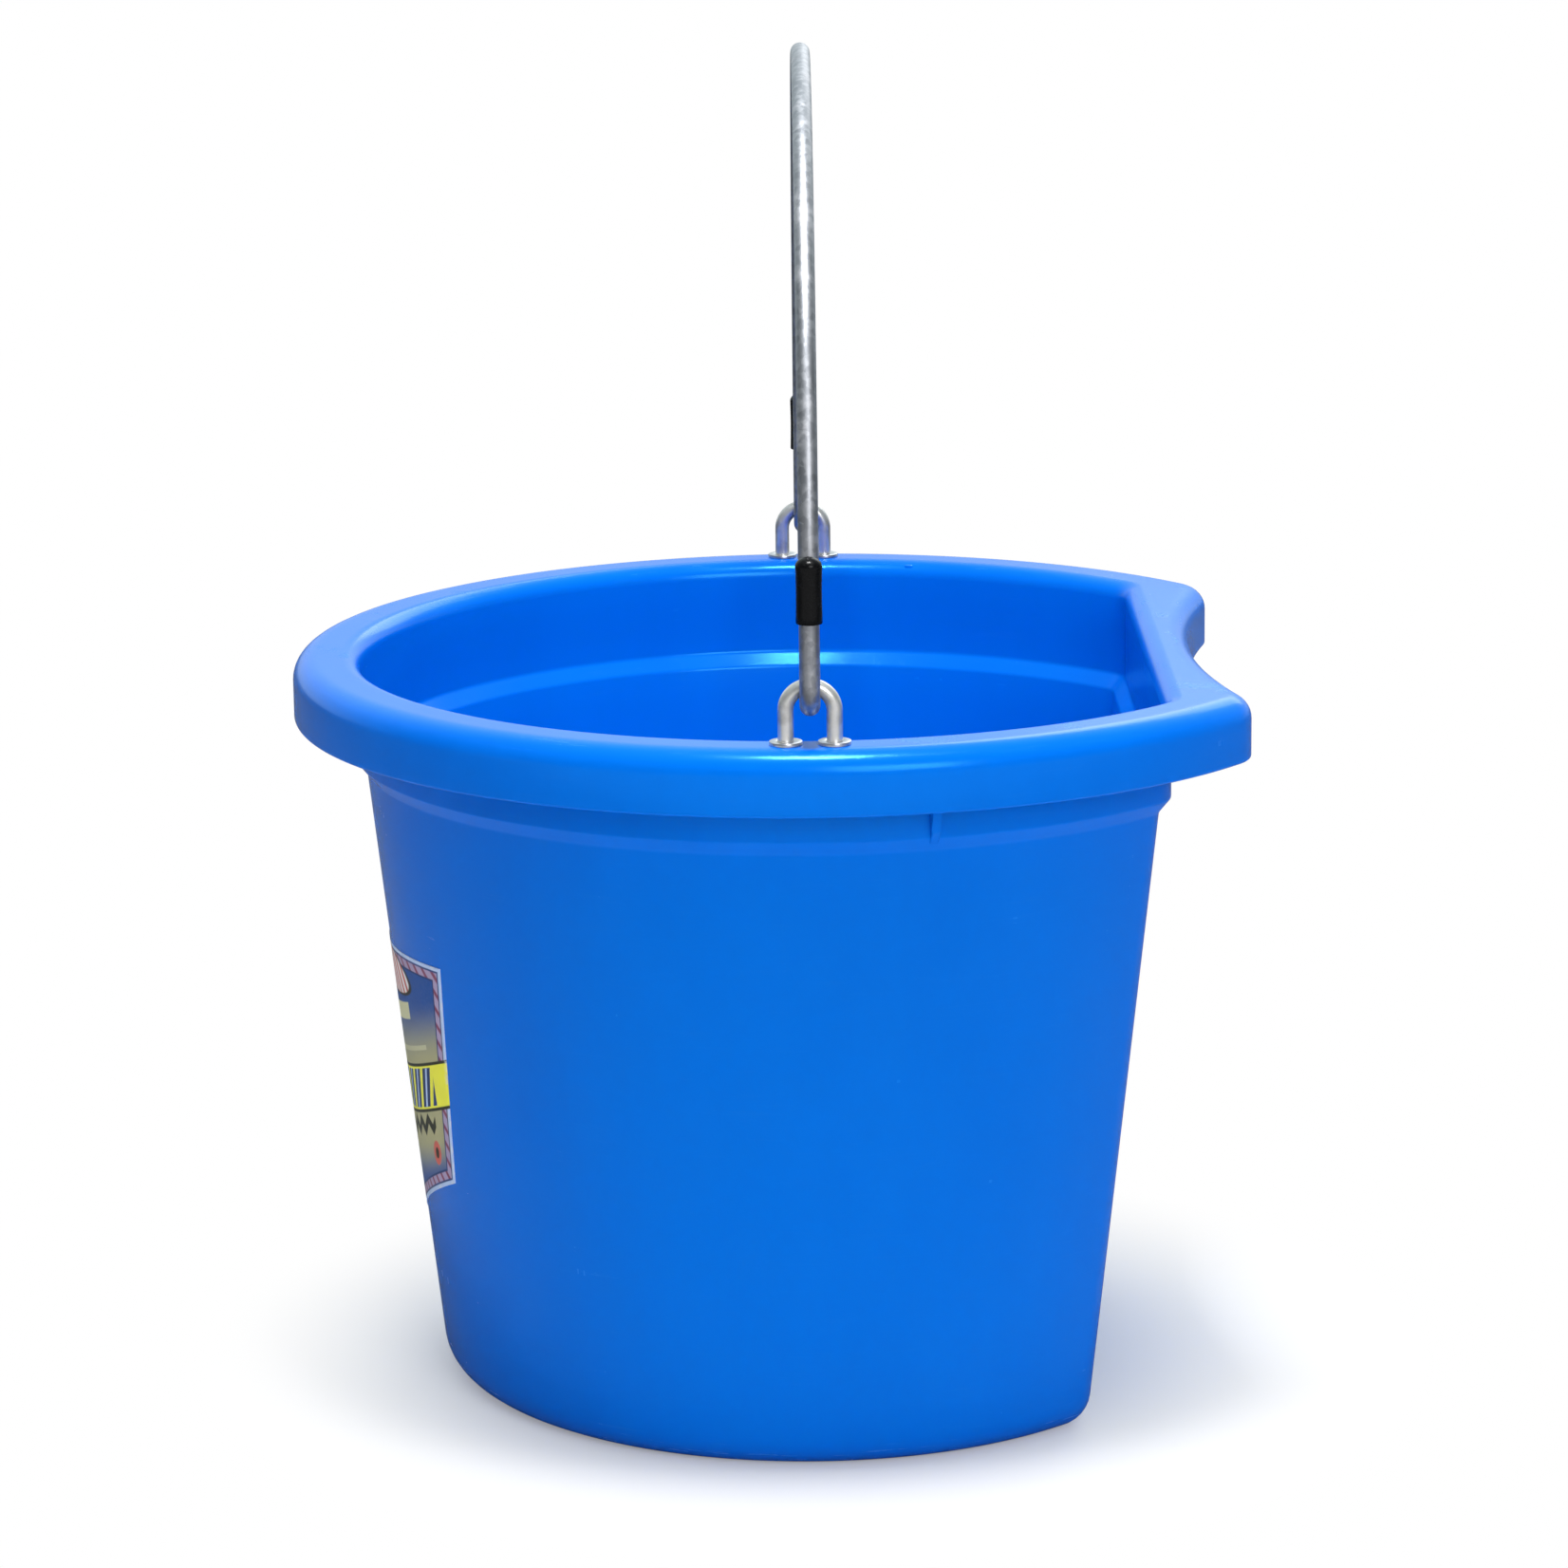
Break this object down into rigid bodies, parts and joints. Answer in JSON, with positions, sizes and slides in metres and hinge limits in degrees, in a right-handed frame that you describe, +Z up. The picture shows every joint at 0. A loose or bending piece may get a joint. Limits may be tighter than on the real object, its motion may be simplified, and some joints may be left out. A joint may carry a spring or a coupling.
{
  "type": "feed bucket",
  "caption": "Flat-back moulded feed bucket with a hooded rim, wire eye bolts, a swinging bail with capped ends and a printed label",
  "frame": {"origin": "on the round wall's axis at floor level, in the plane of the standing ring", "axes": "+Z up, +X towards the flat back, -X towards the round front with the label; the bail swings about Y"},
  "size_m": [0.3643, 0.4, 0.5201],
  "materials": {
    "blue_plastic": "moulded bright blue polymer with a soft shine",
    "label_print": null,
    "eye_steel": "zinc-plated steel wire",
    "zinc_hardware": "zinc-plated steel fasteners",
    "bail_wire": "galvanised steel wire",
    "black_vinyl": "dipped black vinyl"
  },
  "bodies": {
    "bucket": {"bucket_body": "blue_plastic", "front_label": "label_print", "eye_bolt_right": "eye_steel", "eye_bolt_left": "eye_steel", "top_washer_right_front": "zinc_hardware", "top_washer_right_back": "zinc_hardware", "top_washer_left_front": "zinc_hardware", "top_washer_left_back": "zinc_hardware", "under_washer_right_front": "zinc_hardware", "under_washer_right_back": "zinc_hardware", "under_washer_left_front": "zinc_hardware", "under_washer_left_back": "zinc_hardware", "eye_nut_right_front": "zinc_hardware", "eye_nut_right_back": "zinc_hardware", "eye_nut_left_front": "zinc_hardware", "eye_nut_left_back": "zinc_hardware"},
    "bail": {"bail": "bail_wire", "bail_cap_right": "black_vinyl", "bail_cap_left": "black_vinyl"}
  },
  "joints": [
    {"name": "bail_swing", "type": "hinge", "parent": "bucket", "child": "bail", "pos_m": [0, 0, 0.30215], "axis": [0, 1, 0], "range_deg": [-95, 95]}
  ]
}
